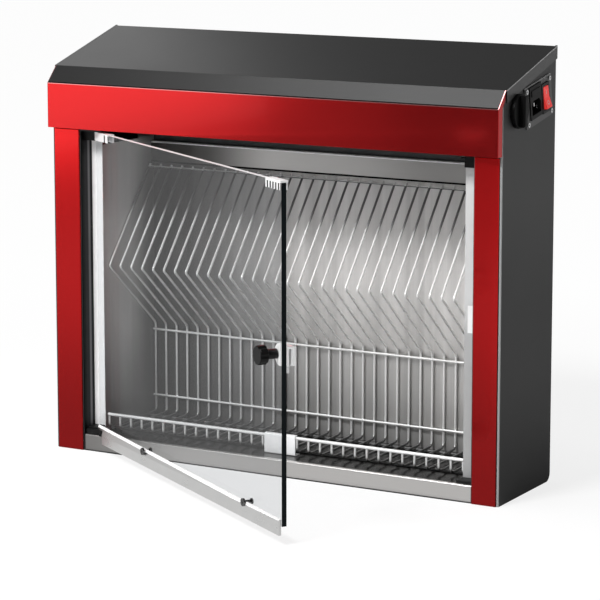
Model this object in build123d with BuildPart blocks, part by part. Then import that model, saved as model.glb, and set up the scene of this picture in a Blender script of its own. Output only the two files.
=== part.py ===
from build123d import *
import os
from math import atan, cos, radians, sin

os.makedirs("parts", exist_ok=True)

# Ultraviolet knife sterilising cabinet: a folded sheet-steel case with a stainless chamber,
# a wire knife rack and one glass door, hinged on the left and standing part open.
# All sizes are in millimetres. X runs to the right and Y to the rear. The origin is the centre of
# the base. Heights are above the base, and depths are counted back from the body's front plane.

# Case
body_width = 600
body_depth = 142
sheet = 1.2
bend_radius = 1.6
base_bend_radius = 10
fascia_bottom = 398.5
fascia_height = 54
fascia_proud = 12
fascia_return_depth = 11
bevel_run = 19.5
bevel_cheek_width = 9
roof_rise = 39
roof_lip = 15
roof_rear_lip = 12
stile_width = {"left": 35.5, "right": 30}
stile_inset = 3
stile_thickness = 2
stile_edge_radius = 0.8
reveal_step = 2
wall_hole_radius = 3.5
wall_hole_inset = 20
wall_hole_spacing_z = 380
wall_hole_low = 70

# Chamber
jamb_width = 17.85
jamb_depth = 23
liner_gap = 0.8
liner_side_drop = 22.5
sill_height = 20.3
sill_set_back = 1
sill_flange = 5
baffle_drop = 28.9
baffle_height = 26.5
baffle_gap = 4.1

# Corner blocks around the closed door
block_gap = 0.3
block_height = 8.2
top_block_height = 12
block_width = 14.5
low_right_block_width = 21
low_right_block_height = 3

# Door
door_angle = 32.9
glass_thickness = 6
glass_bottom = 21.4
glass_top_gap = 5.1
glass_edge_radius = 0.6
door_side_gap = 19.3
door_free_gap = 19.2
door_set_back = 0.3
hinge_inset = 6
pin_radius = 2
pin_clearance = 0.05
post_radius = 6
post_height = 27.8
notch_width = 16
notch_top = 30.3
pivot_plate = 3.5
pivot_plate_width = 31.5

# Door fittings
clip_wall = 1.5
clip_drop = 9
clip_bridge = 1.2
hinge_clip_length = 38
hinge_clip_groove = (27, 31)
corner_clip_length = 34
corner_clip_wrap = 1.2
corner_clip_end_drop = 1
corner_clip_rib = 3
corner_clip_rib_pitch = 6.4
rail_thickness = 3
rail_bottom = 11.7
rail_top_left = 33.5
rail_top_right = 29.3
rail_right_inset = 1.5
rail_bevel_low_left = 22.2
rail_bevel_low_right = 28.3
rail_bevel_thin = 2.2
rail_tab = 2
rail_tab_gap = 0.2
rail_post_gap = 2
backing_thickness = 1.2
backing_radius = 3.4
rail_screw_from_left = 136.5
rail_screw_from_right = 84.3
rail_screw_height = 29.5
rail_screw_radius = 2
rail_screw_head_radius = 4.4
rail_screw_head = 2.2

# Knob and latch
lock_height = 209
lock_edge = 9
lock_plate_radius = 12.1
lock_plate_width = 14
lock_case_width = 22
lock_case_depth = 10
lock_case_drop = 13.5
lock_case_rise = 7.5
lock_pocket = (3, 6)
lock_pocket_gap = 0.3
spindle_radius = 3
spindle_clearance = 0.05
spindle_hole_radius = 5
neck_radius = 5.5
neck_length = 13.2
neck_gap = 0.3
knob_radius = 10.5
knob_length = 10
knob_lobes = 6
knob_groove_radius = 3
knob_edge_radius = 1.2
cam_hub_radius = 5
cam_reach = 22
cam_width = 8

# Strike on the right reveal
strike_low = 195
strike_high = 226
strike_lip = 9.4
strike_front = 8
strike_rear = 21
strike_screw_radius = 2.8
strike_screw_head = 1.4
strike_screw_inset = 6
strike_screw_depth = 16.5

# Door switch
switch_width = 16
switch_depth = 12
switch_height = 13
plunger_radius = 1
plunger_clearance = 0.1
plunger_gap = 0.3
plunger_travel = 3
plunger_hidden = 6
plunger_height = 5
plunger_past_glass = 0.4

# Rack
wire_count = 32
rack_side_gap = 1.2
wire_radius = 1.4
rail_wire_radius = 2
weld_gap = 0.05
rack_top_height = 341.5
rack_top_gap = 6.1
rack_knee = (32.3, 226.8)
rack_rear_gap = 2.8
rack_rear_bend = 139
rack_floor = 24.7
rack_front_depth = 28.7
rack_front_rail = 41.5
rack_knee_radius = 3
rack_rear_radius = 8
rack_foot_radius = 6
rack_cross_heights = (131, 46.5)
rack_front_runner = 46
rack_rear_runner = 14
rack_top_rail_from_end = 1.8
rack_clip_width = 42
rack_clip_offset = 1.5
rack_clip_foot = 10
rack_clip_hook = 5

# Lamp and gear above the chamber
tray_rise = 41.5
tray_leg_depth = 36
lamp_depth = 78
lamp_drop = 28
lamp_end_space = 25.9
lamp_radius = 13
cap_length = 14
cap_wall = 0.4
lamp_pin_radius = 1.2
lamp_pin_length = 7
lamp_pin_spacing = 12.7
holder_thickness = 14
holder_width = 24
holder_drop = 20
ballast_size = (150, 41, 28)
ballast_depth = 60
starter_radius = 10.5
starter_length = 36
starter_socket = (30, 24, 10)
gear_from_side = 94.4
gear_from_rear = 30
terminal_size = (60, 20, 16)

# Side panel fittings: plate, mains inlet, fuse drawer, rocker switch and timer
plate_size = (72, 48)
plate_thickness = 1.5
plate_corner = 2
plate_depth = 92.6
plate_rise = 53.1
plate_tilt = 10
plate_cutout = (56, 40)
plate_screw_spacing = (62.4, 38.4)
plate_screw_radius = 2.6
plate_screw_head = 1.3
inlet_offset = (-10, 3)
inlet_size = (27.6, 33)
inlet_flange = (31, 38)
inlet_flange_thickness = 1.5
inlet_depth = 24
socket_size = (24, 16.5)
socket_drop = 6
socket_depth = 17
socket_chamfer = 4.5
blade_size = (2, 4)
blade_length = 14
blade_spacing = 7
blade_rise = 2
drawer_size = (22.6, 6.8)
drawer_rise = 11
drawer_length = 18
drawer_clearance = 0.2
rocker_offset = (17, 0)
bezel_size = (19.6, 34.4)
bezel_thickness = 1.6
bezel_depth = 18
rocker_size = (15.6, 29.6)
rocker_axis_depth = 2
rocker_rise = 2.2
rocker_dip = 0.8
rocker_foot = 4
rocker_root = 3.5
rocker_tilt = 9
rocker_wall = 0.8
rocker_clearance = 0.4
rocker_swing = 1.6
rocker_pocket = 8
timer_depth = 35.5
timer_rise = 47.5
timer_body_size = (38, 38, 22)
timer_shaft_radius = 3
timer_shaft_clearance = 0.05
timer_shaft_inside = 12
timer_knob_radius = 19.5
timer_knob_skirt = 5
timer_knob_gap = 1.7
timer_grip_width = 9
timer_grip_rise = 6
timer_grip_radius = 2

# Places worked out from the sizes above
front = -body_depth / 2
back = body_depth / 2
half = body_width / 2
fascia_top = fascia_bottom + fascia_height
roof_front = front - fascia_proud + bevel_run
roof_front_height = fascia_top + bevel_run
roof_rear_height = roof_front_height + roof_rise
roof_slope = (roof_rear_height - roof_front_height) / (back - roof_front)
roof_skin = sheet / cos(atan(roof_slope))
opening_edge = {"left": stile_width["left"] + stile_inset - half,
                "right": half - stile_inset - stile_width["right"]}
reveal = {"left": opening_edge["left"] + reveal_step, "right": opening_edge["right"] - reveal_step}
chamber = (reveal["right"] - reveal["left"]) / 2 - jamb_width
jamb = front + jamb_depth
liner_rear = back - sheet - liner_gap
liner_back_face = liner_rear - sheet
baffle_face = liner_back_face - sheet - baffle_gap
rack_top = (baffle_face - rack_top_gap - front, rack_top_height)
rack_rear_depth = liner_back_face - rack_rear_gap - front
rack_runner_depths = (rack_front_runner, rack_rear_depth - rack_rear_runner)
floor_low = sill_height - sheet
liner_side_height = fascia_bottom - liner_side_drop
baffle_top = fascia_bottom - baffle_drop
glass_top = fascia_bottom - glass_top_gap
plate_height = fascia_bottom + plate_rise
timer_height = fascia_bottom + timer_rise
tray_height = fascia_bottom + tray_rise
lamp_height = tray_height - lamp_drop
lamp_length = 2 * (chamber - lamp_end_space)
door_left = reveal["left"] + door_side_gap
glass_width = reveal["right"] - door_free_gap - door_left
rail_screw_places = (rail_screw_from_left, glass_width - rail_screw_from_right)
hinge_x = door_left + hinge_inset
hinge_y = front + door_set_back + glass_thickness / 2
door = Plane((hinge_x, hinge_y, 0), x_dir=(cos(radians(door_angle)), -sin(radians(door_angle)), 0))
glass_left = -hinge_inset
glass_right = glass_width - hinge_inset
glass_face = -glass_thickness / 2
glass_back = glass_thickness / 2
lock_x = glass_right - lock_edge
plunger_x = hinge_x + glass_right + plunger_past_glass
plunger_z = fascia_bottom - plunger_height
side_frame = Plane((half, front + plate_depth, plate_height),
                   x_dir=(0, cos(radians(plate_tilt)), sin(radians(plate_tilt))), z_dir=(1, 0, 0))


def roof_height(depth):
    """Height of the roof's outer face at a place along Y."""
    return roof_front_height + (depth - roof_front) * roof_slope


def slab(x, y, z, frame=Plane.XY, mode=Mode.ADD):
    """Add a block that spans two places along each axis of a frame."""
    middle = ((x[0] + x[1]) / 2, (y[0] + y[1]) / 2, (z[0] + z[1]) / 2)
    with Locations(frame.location):
        with Locations(middle):
            Box(abs(x[1] - x[0]), abs(y[1] - y[0]), abs(z[1] - z[0]), mode=mode)


def span(middle, size):
    """The two ends of a size that is centred on a place."""
    return middle - size / 2, middle + size / 2


def rod(frame, radius, length, mode=Mode.ADD):
    """Add a cylinder that starts on a frame's origin and runs along its Z axis."""
    with Locations(frame.location):
        Cylinder(radius, length, align=(Align.CENTER, Align.CENTER, Align.MIN), mode=mode)


def outline(plane, points, depth, mode=Mode.ADD):
    """Extrude the closed outline through some points of a plane."""
    with BuildSketch(plane) as face:
        with BuildLine() as border:
            Polyline(*points, close=True)
        make_face(border.line)
    extrude(face.sketch, amount=depth, mode=mode)


def folded(plane, points, radius, length):
    """Extrude a folded sheet, given the middle line of its section."""
    with BuildSketch(plane) as section:
        with BuildLine() as middle:
            FilletPolyline(*points, radius=radius)
        trace(middle.line, line_width=sheet)
    extrude(section.sketch, amount=length)


def door_axis(x, y, z, towards_front=True):
    """A plane on the door at a place, facing out of the door or into the chamber."""
    outward = -1 if towards_front else 1
    origin = door.from_local_coords((x, y, z))
    facing = door.y_dir * outward
    return Plane(origin, x_dir=door.x_dir, z_dir=facing)


def on_side(x, y, z):
    """The side plate's frame, moved to a place in it."""
    return Plane(side_frame.from_local_coords((x, y, z)), x_dir=side_frame.x_dir,
                 z_dir=side_frame.z_dir)


def save(piece, name):
    """Label a finished piece and write its file."""
    piece.part.label = name
    export_step(piece.part, f"parts/{name}.step")


# ---- Case -------------------------------------------------------------------------------------

sides = {"left": -1, "right": 1}

for name, sign in sides.items():
    wall_mid = sign * (half - sheet / 2)
    reveal_mid = reveal[name] + sign * sheet / 2
    with BuildPart() as side_panel:
        folded(Plane.XY, [(wall_mid, back), (wall_mid, front + sheet / 2),
                          (reveal_mid, front + sheet / 2), (reveal_mid, jamb)],
               bend_radius - sheet / 2, fascia_bottom)
        outline(Plane.YZ.offset(sign * (half - sheet / 2) - sheet / 2),
                [(front, fascia_bottom), (back, fascia_bottom),
                 (back, roof_height(back) - roof_skin),
                 (roof_front + sheet, roof_height(roof_front + sheet) - roof_skin),
                 (roof_front + sheet, roof_front_height - bevel_cheek_width),
                 (front, fascia_top)],
                sheet)
        rear_foot = side_panel.edges().filter_by(Axis.X).sort_by(lambda e: e.center().Y - e.center().Z)
        fillet(rear_foot[-1], base_bend_radius)
        slab((sign * (half - sheet), reveal[name]), (front, jamb + sheet), (0, sheet),
             mode=Mode.SUBTRACT)
        if sign > 0:
            slab(span(0, plate_cutout[0]), span(0, plate_cutout[1]), (-2 * sheet, sheet), side_frame,
                 mode=Mode.SUBTRACT)
            rod(Plane((half - 2 * sheet, front + timer_depth, timer_height), z_dir=(1, 0, 0)),
                timer_shaft_radius + timer_knob_gap, 3 * sheet, mode=Mode.SUBTRACT)
    save(side_panel, f"side_panel_{name}")

with BuildPart() as base_panel:
    folded(Plane.YZ.offset(-half + sheet),
           [(front, sheet / 2), (back - sheet / 2, sheet / 2),
            (back - sheet / 2, base_bend_radius + sheet)],
           base_bend_radius - sheet / 2, body_width - 2 * sheet)
save(base_panel, "base_panel")

with BuildPart() as back_panel:
    slab((-half + sheet, half - sheet), (back - sheet, back),
         (base_bend_radius + sheet, roof_height(back) - roof_skin - bend_radius))
    for column in (-1, 1):
        for row in (0, 1):
            hole = Plane((column * (half - wall_hole_inset), back - 2 * sheet,
                          wall_hole_low + row * wall_hole_spacing_z), z_dir=(0, 1, 0))
            rod(hole, wall_hole_radius, 3 * sheet, mode=Mode.SUBTRACT)
save(back_panel, "back_panel")

with BuildPart() as header_rail:
    folded(Plane.YZ.offset(-half + sheet),
           [(jamb + sheet, fascia_bottom + sheet / 2), (front + sheet / 2, fascia_bottom + sheet / 2),
            (front + sheet / 2, fascia_top - sheet)],
           bend_radius - sheet / 2, body_width - 2 * sheet)
save(header_rail, "header_rail")

bevel_start = (front - fascia_proud + bend_radius, fascia_top + bend_radius - sheet * 0.7)
with BuildPart() as roof:
    folded(Plane.YZ.offset(-half + sheet),
           [bevel_start, (roof_front + sheet / 4, roof_front_height - sheet / 2),
            (back + sheet / 2, roof_height(back) - roof_skin / 2),
            (back + sheet / 2, roof_rear_height - roof_rear_lip)],
           bend_radius - sheet / 2, body_width - 2 * sheet)
    for sign in sides.values():
        outline(Plane.YZ.offset(sign * half - sheet),
                [(roof_front, roof_front_height), (back + sheet, roof_height(back + sheet)),
                 (back + sheet, roof_height(back + sheet) - roof_skin),
                 (roof_front, roof_front_height - roof_skin)],
                2 * sheet)
        outline(Plane.YZ.offset(sign * (half + sheet / 2) - sheet / 2),
                [(roof_front, roof_front_height), (back + sheet, roof_height(back + sheet)),
                 (back + sheet, roof_height(back + sheet) - roof_lip),
                 (roof_front + sheet, roof_height(roof_front + sheet) - roof_lip)],
                sheet)
save(roof, "roof")

fascia_face = front - fascia_proud
fascia_mid = half - sheet / 2
with BuildPart() as fascia:
    folded(Plane.XY.offset(fascia_bottom),
           [(-fascia_mid, fascia_face + fascia_return_depth), (-fascia_mid, fascia_face + sheet / 2),
            (fascia_mid, fascia_face + sheet / 2), (fascia_mid, fascia_face + fascia_return_depth)],
           bend_radius - sheet / 2, fascia_height)
    for sign in sides.values():
        outline(Plane.YZ.offset(sign * (half - sheet / 2) - sheet / 2),
                [(fascia_face + sheet, fascia_top), (roof_front, roof_front_height - sheet / 4),
                 (roof_front, roof_front_height - bevel_cheek_width),
                 (fascia_face + fascia_return_depth, fascia_top)],
                sheet)
    slab((-half + sheet, half - sheet), (fascia_face + sheet, front),
         (fascia_bottom, fascia_bottom + sheet))
save(fascia, "fascia")

for name, sign in sides.items():
    with BuildPart() as stile:
        slab((opening_edge[name], sign * (half - stile_inset)), (front - stile_thickness, front),
             (0, fascia_bottom - reveal_step))
        face_edges = stile.faces().sort_by(Axis.Y)[0].edges()
        fillet(face_edges, stile_edge_radius)
    save(stile, f"stile_{name}")

# ---- Chamber ----------------------------------------------------------------------------------

sill_face = front + sill_set_back
with BuildPart() as sill:
    folded(Plane.YZ.offset(reveal["left"]),
           [(sill_face + sheet / 2, sheet), (sill_face + sheet / 2, sill_height - sheet / 2),
            (sill_face + sill_flange, sill_height - sheet / 2)],
           bend_radius - sheet / 2, reveal["right"] - reveal["left"])
save(sill, "sill")

with BuildPart() as chamber_floor:
    slab((reveal["left"], reveal["right"]), (sill_face + sill_flange, jamb), (floor_low, sill_height))
    slab((-chamber, chamber), (jamb, liner_back_face), (floor_low, sill_height))
save(chamber_floor, "chamber_floor")

with BuildPart() as liner_back:
    slab((-chamber, chamber), (liner_back_face, liner_rear), (floor_low, baffle_top))
save(liner_back, "liner_back")

for name, sign in sides.items():
    with BuildPart() as liner_side:
        slab((sign * chamber, sign * (chamber + sheet)), (jamb + sheet, liner_rear),
             (floor_low, liner_side_height))
    save(liner_side, f"liner_{name}")
    with BuildPart() as jamb_strip:
        slab((sign * chamber, reveal[name] + sign * sheet), (jamb, jamb + sheet),
             (sill_height, fascia_bottom))
        if sign > 0:
            rod(Plane((plunger_x, jamb - sheet, plunger_z), z_dir=(0, 1, 0)),
                plunger_radius + plunger_clearance, 3 * sheet, mode=Mode.SUBTRACT)
    save(jamb_strip, f"jamb_{name}")

with BuildPart() as baffle:
    folded(Plane.YZ.offset(-chamber),
           [(baffle_face + sheet / 2, baffle_top - baffle_height),
            (baffle_face + sheet / 2, baffle_top - sheet / 2), (liner_back_face, baffle_top - sheet / 2)],
           bend_radius - sheet / 2, 2 * chamber)
save(baffle, "rear_baffle")

# ---- Corner blocks and door pivots ------------------------------------------------------------

block_front = hinge_y + glass_thickness / 2 + block_gap
bearing_radius = pin_radius + pin_clearance
top_block_low = fascia_bottom - pivot_plate - top_block_height

with BuildPart() as top_pivot:
    slab((reveal["left"], reveal["left"] + pivot_plate_width), (hinge_y - post_radius, jamb),
         (fascia_bottom - pivot_plate, fascia_bottom))
    rod(Plane((hinge_x, hinge_y, fascia_bottom - 2 * pivot_plate)), bearing_radius, 3 * pivot_plate,
        mode=Mode.SUBTRACT)
save(top_pivot, "top_pivot_plate")

with BuildPart() as bottom_pivot:
    post = Plane((hinge_x, hinge_y, sill_height))
    slab((reveal["left"], reveal["left"] + block_width), (block_front, jamb),
         (sill_height, sill_height + block_height))
    slab((reveal["left"], hinge_x), (hinge_y, jamb), (sill_height, post_height - clip_bridge))
    rod(post, post_radius, post_height - sill_height)
    rod(post, bearing_radius, post_height, mode=Mode.SUBTRACT)
save(bottom_pivot, "bottom_pivot_block")

with BuildPart() as block_top_left:
    slab((reveal["left"], reveal["left"] + block_width), (block_front, jamb),
         (top_block_low, fascia_bottom - pivot_plate))
save(block_top_left, "corner_block_top_left")

with BuildPart() as block_top_right:
    slab((reveal["right"] - block_width, reveal["right"]), (block_front, jamb),
         (top_block_low, fascia_bottom))
save(block_top_right, "corner_block_top_right")

with BuildPart() as block_bottom_right:
    slab((reveal["right"] - low_right_block_width, reveal["right"]), (block_front, jamb),
         (sill_height, sill_height + low_right_block_height))
save(block_bottom_right, "corner_block_bottom_right")

# ---- Door -------------------------------------------------------------------------------------


def rail_screw_holes():
    """Drill the rail's two screw holes through a piece of the door."""
    for place in rail_screw_places:
        rod(door_axis(glass_left + place, 2 * glass_back, rail_screw_height), rail_screw_radius,
            4 * glass_back, mode=Mode.SUBTRACT)


def glass_cap(ends):
    """A folded cap that holds the glass's top edge between two places along it."""
    slab(ends, (glass_face - clip_wall, glass_back + clip_wall),
         (glass_top - clip_drop, glass_top + clip_bridge), door)
    slab(ends, (glass_face, glass_back), (glass_top - 2 * clip_drop, glass_top), door,
         mode=Mode.SUBTRACT)


with BuildPart() as glass:
    slab((glass_left, glass_right), (glass_face, glass_back), (glass_bottom, glass_top), door)
    fillet(glass.edges().filter_by(Axis.Z), glass_edge_radius)
    slab((glass_left, glass_left + notch_width), (2 * glass_face, 2 * glass_back),
         (glass_bottom, notch_top), door, mode=Mode.SUBTRACT)
    rod(door_axis(lock_x, 2 * glass_back, lock_height), spindle_hole_radius, 4 * glass_back,
        mode=Mode.SUBTRACT)
    rail_screw_holes()
save(glass, "door_glass")

rail_face = glass_face - rail_thickness
rail_right = glass_right - rail_right_inset
tab_top = notch_top - rail_tab_gap
tab_low = tab_top - rail_tab
rail_left = post_radius + rail_post_gap
bevel_left = door.from_local_coords((glass_left, rail_face, rail_bevel_low_left))
bevel_right = door.from_local_coords((rail_right, rail_face, rail_bevel_low_right))
bevel_upper = door.from_local_coords((glass_left, rail_face + rail_bevel_thin, rail_top_left))
bevel_run_right = bevel_right - bevel_left
bevel_plane = Plane(bevel_left, x_dir=bevel_run_right,
                    z_dir=bevel_run_right.cross(bevel_upper - bevel_left))
with BuildPart() as door_rail:
    outline(door_axis(0, glass_face, 0),
            [(-post_radius, tab_low), (rail_left, tab_low), (rail_left, rail_bottom),
             (rail_right, rail_bottom), (rail_right, rail_top_right), (-post_radius, rail_top_left)],
            rail_thickness)
    split(bisect_by=bevel_plane, keep=Keep.BOTTOM)
    slab((-post_radius, rail_left), (rail_face + rail_bevel_thin, glass_back), (tab_low, tab_top), door)
    rail_screw_holes()
save(door_rail, "door_rail")

with BuildPart() as rail_backing:
    for place in rail_screw_places:
        rod(door_axis(glass_left + place, glass_back + backing_thickness, rail_screw_height),
            backing_radius, backing_thickness)
    rail_screw_holes()
save(rail_backing, "door_rail_backing")

with BuildPart() as rail_screws:
    for place in rail_screw_places:
        rod(door_axis(glass_left + place, rail_face, rail_screw_height), rail_screw_head_radius,
            rail_screw_head)
        rod(door_axis(glass_left + place, glass_back + backing_thickness, rail_screw_height),
            rail_screw_radius, glass_thickness + backing_thickness + rail_thickness)
save(rail_screws, "door_rail_screws")

with BuildPart() as hinge_clip:
    glass_cap((glass_left, glass_left + hinge_clip_length))
    slab((glass_left + hinge_clip_groove[0], glass_left + hinge_clip_groove[1]),
         (2 * glass_face, glass_face), (glass_top - 2 * clip_drop, glass_top), door, mode=Mode.SUBTRACT)
save(hinge_clip, "hinge_clip")

with BuildPart() as corner_clip:
    clip_low = glass_right - corner_clip_length
    glass_cap((clip_low, glass_right))
    slab((glass_right, glass_right + corner_clip_wrap), (glass_face - clip_wall, glass_back + clip_wall),
         (glass_top - corner_clip_end_drop, glass_top + clip_bridge), door)
    for groove in range(int(corner_clip_length / corner_clip_rib_pitch)):
        start = clip_low + corner_clip_rib + groove * corner_clip_rib_pitch
        slab((start, start + corner_clip_rib_pitch - corner_clip_rib),
             (2 * glass_face, glass_face - clip_wall / 2),
             (glass_top - 2 * clip_drop, glass_top - clip_wall), door, mode=Mode.SUBTRACT)
save(corner_clip, "corner_clip")

with BuildPart() as top_pin:
    rod(Plane((hinge_x, hinge_y, glass_top + clip_bridge)), pin_radius,
        fascia_bottom - glass_top - 2 * clip_bridge)
save(top_pin, "top_pivot_pin")

with BuildPart() as bottom_pin:
    rod(Plane((hinge_x, hinge_y, sill_height + clip_bridge)), pin_radius,
        tab_low - sill_height - clip_bridge)
save(bottom_pin, "bottom_pivot_pin")

# ---- Knob and latch ---------------------------------------------------------------------------

plate_front = glass_face - clip_wall
plate_round = glass_right - lock_plate_width + lock_plate_radius
spindle_bore = spindle_radius + spindle_clearance
with BuildPart() as lock_plate:
    slab((plate_round, glass_right), (plate_front, glass_face),
         span(lock_height, 2 * lock_plate_radius), door)
    rod(door_axis(plate_round, glass_face, lock_height), lock_plate_radius, clip_wall)
    slab((glass_right, glass_right + 2 * lock_plate_radius), (2 * plate_front, glass_back),
         span(lock_height, 4 * lock_plate_radius), door, mode=Mode.SUBTRACT)
    rod(door_axis(lock_x, glass_back, lock_height), spindle_bore, 2 * glass_thickness,
        mode=Mode.SUBTRACT)
save(lock_plate, "lock_plate")

case_back = glass_back + lock_case_depth
pocket = (glass_back + lock_pocket[0], glass_back + lock_pocket[1])
with BuildPart() as lock_case:
    slab((glass_right - lock_case_width, glass_right), (glass_back, case_back),
         (lock_height - lock_case_drop, lock_height + lock_case_rise), door)
    hub_gap = cam_hub_radius + lock_pocket_gap
    slab((lock_x - hub_gap, glass_right + hub_gap), pocket,
         (lock_height - 2 * lock_case_drop, lock_height + hub_gap), door, mode=Mode.SUBTRACT)
    rod(door_axis(lock_x, case_back + lock_pocket_gap, lock_height), spindle_bore,
        2 * lock_case_depth, mode=Mode.SUBTRACT)
save(lock_case, "lock_case")

neck_start = plate_front - neck_gap
neck_end = neck_start - neck_length
with BuildPart() as knob:
    rod(door_axis(lock_x, neck_start, lock_height), neck_radius, neck_length)
    rod(door_axis(lock_x, neck_end, lock_height), knob_radius, knob_length)
    head_rims = knob.edges().filter_by(GeomType.CIRCLE).sort_by(SortBy.RADIUS)[-2:]
    fillet(head_rims, knob_edge_radius)
    with Locations(door_axis(lock_x, neck_end + knob_edge_radius, lock_height).location):
        with PolarLocations(knob_radius + knob_groove_radius / 2, knob_lobes):
            Cylinder(knob_groove_radius, 2 * knob_length, align=(Align.CENTER, Align.CENTER, Align.MIN),
                     mode=Mode.SUBTRACT)
    rod(door_axis(lock_x, neck_start, lock_height), spindle_radius, neck_length, mode=Mode.SUBTRACT)
save(knob, "knob")

with BuildPart() as spindle:
    rod(door_axis(lock_x, case_back, lock_height), spindle_radius, case_back - neck_end)
save(spindle, "latch_spindle")

with BuildPart() as cam:
    cam_face = pocket[1] - lock_pocket_gap
    cam_thickness = pocket[1] - pocket[0] - 2 * lock_pocket_gap
    rod(door_axis(lock_x, cam_face, lock_height), cam_hub_radius, cam_thickness)
    slab(span(lock_x, cam_width), (cam_face - cam_thickness, cam_face),
         (lock_height - cam_reach, lock_height), door)
    rod(door_axis(lock_x, cam_face, lock_height), spindle_radius, cam_thickness, mode=Mode.SUBTRACT)
save(cam, "latch_cam")

# ---- Strike and door switch -------------------------------------------------------------------

strike_mid = front + strike_front + sheet / 2
with BuildPart() as strike:
    folded(Plane.XY.offset(strike_low),
           [(reveal["right"] - strike_lip, strike_mid), (reveal["right"] - sheet / 2, strike_mid),
            (reveal["right"] - sheet / 2, front + strike_rear)],
           bend_radius - sheet / 2, strike_high - strike_low)
save(strike, "strike_plate")

with BuildPart() as strike_screws:
    for place in (strike_low + strike_screw_inset, strike_high - strike_screw_inset):
        rod(Plane((reveal["right"] - sheet, front + strike_screw_depth, place), z_dir=(-1, 0, 0)),
            strike_screw_radius, strike_screw_head)
save(strike_screws, "strike_screws")

switch_face = jamb + sheet
plunger_tip = hinge_y + glass_back + clip_wall + plunger_gap
with BuildPart() as door_switch:
    slab((chamber, chamber + switch_width), (switch_face, switch_face + switch_depth),
         (fascia_bottom - switch_height, fascia_bottom))
    rod(Plane((plunger_x, switch_face - sheet, plunger_z), z_dir=(0, 1, 0)),
        plunger_radius + plunger_clearance, plunger_hidden + plunger_travel + 2 * sheet,
        mode=Mode.SUBTRACT)
save(door_switch, "door_switch")

with BuildPart() as plunger:
    rod(Plane((plunger_x, plunger_tip, plunger_z), z_dir=(0, 1, 0)), plunger_radius,
        switch_face + plunger_hidden - plunger_tip)
save(plunger, "door_switch_plunger")

# ---- Rack -------------------------------------------------------------------------------------

wire_top = rack_front_rail - rail_wire_radius - weld_gap
rack_half = chamber - rack_side_gap
wire_pitch = 2 * (rack_half - wire_radius) / (wire_count - 1)
with BuildPart() as one_wire:
    with BuildLine(Plane.YZ) as wire_path:
        FilletPolyline((front + rack_top[0], rack_top[1]), (front + rack_knee[0], rack_knee[1]),
                       (front + rack_rear_depth, rack_rear_bend), (front + rack_rear_depth, rack_floor),
                       (front + rack_front_depth, rack_floor), (front + rack_front_depth, wire_top),
                       radius=[rack_knee_radius, rack_rear_radius, rack_foot_radius, rack_foot_radius])
    with BuildSketch(Plane(origin=wire_path.line @ 0, z_dir=wire_path.line % 0)):
        Circle(wire_radius)
    sweep(path=wire_path.line)
with BuildPart() as rack_wires:
    with GridLocations(wire_pitch, 0, wire_count, 1):
        add(one_wire.part)
save(rack_wires, "rack_wires")

wire_start = Vector(0, front + rack_top[0], rack_top[1])
wire_knee = Vector(0, front + rack_knee[0], rack_knee[1])
slope = (wire_knee - wire_start).normalized()
under_wire = Vector(0, -slope.Z, slope.Y)
top_rail_at = wire_start + slope * rack_top_rail_from_end + under_wire * (2 * wire_radius + weld_gap)
cross_depth = front + rack_rear_depth - 2 * wire_radius - weld_gap
runner_height = rack_floor - 2 * wire_radius - weld_gap
rails = [(top_rail_at.Y, top_rail_at.Z, wire_radius)]
rails += [(front + rack_front_depth, rack_front_rail, rail_wire_radius)]
rails += [(cross_depth, height, wire_radius) for height in rack_cross_heights]
rails += [(front + depth, runner_height, wire_radius) for depth in rack_runner_depths]
with BuildPart() as rack_rails:
    for depth, height, radius in rails:
        rod(Plane((-rack_half, depth, height), z_dir=(1, 0, 0)), radius, 2 * rack_half)
save(rack_rails, "rack_rails")

clip_face = front + rack_front_depth - rail_wire_radius - weld_gap - sheet / 2
clip_top = rack_front_rail + rail_wire_radius + weld_gap + sheet / 2
with BuildPart() as rack_clip:
    folded(Plane.YZ.offset(rack_clip_offset - rack_clip_width / 2),
           [(clip_face + rack_clip_foot, sill_height + sheet / 2), (clip_face, sill_height + sheet / 2),
            (clip_face, clip_top), (clip_face + rack_clip_hook, clip_top)],
           bend_radius - sheet / 2, rack_clip_width)
save(rack_clip, "rack_clip")

# ---- Lamp and gear ----------------------------------------------------------------------------

tray_top = tray_height + sheet
with BuildPart() as lamp_tray:
    slab((-chamber - sheet, chamber + sheet), (jamb + sheet, liner_rear), (tray_height, tray_top))
    for sign in sides.values():
        slab((sign * chamber, sign * (chamber + sheet)), (liner_rear - tray_leg_depth, liner_rear),
             (liner_side_height, tray_height))
save(lamp_tray, "lamp_tray")

lamp_y = front + lamp_depth
lamp_end = lamp_length / 2
with BuildPart() as lamp_tube:
    rod(Plane((cap_length - lamp_end, lamp_y, lamp_height), z_dir=(1, 0, 0)), lamp_radius,
        lamp_length - 2 * cap_length)
save(lamp_tube, "uv_lamp_tube")

with BuildPart() as lamp_caps:
    for sign in sides.values():
        end = Plane((sign * (lamp_end - cap_length), lamp_y, lamp_height), z_dir=(sign, 0, 0))
        rod(end, lamp_radius + cap_wall, cap_length)
        for pin in (-lamp_pin_spacing / 2, lamp_pin_spacing / 2):
            rod(Plane((sign * lamp_end, lamp_y, lamp_height + pin), z_dir=(sign, 0, 0)), lamp_pin_radius,
                lamp_pin_length)
save(lamp_caps, "uv_lamp_caps")

with BuildPart() as lampholders:
    for sign in sides.values():
        inner = lamp_end + weld_gap
        slab((sign * inner, sign * (inner + holder_thickness)), span(lamp_y, holder_width),
             (lamp_height - holder_drop, tray_height))
        for pin in (-lamp_pin_spacing / 2, lamp_pin_spacing / 2):
            rod(Plane((sign * lamp_end, lamp_y, lamp_height + pin), z_dir=(sign, 0, 0)),
                lamp_pin_radius + pin_clearance, lamp_pin_length + sheet, mode=Mode.SUBTRACT)
save(lampholders, "lampholders")

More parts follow.
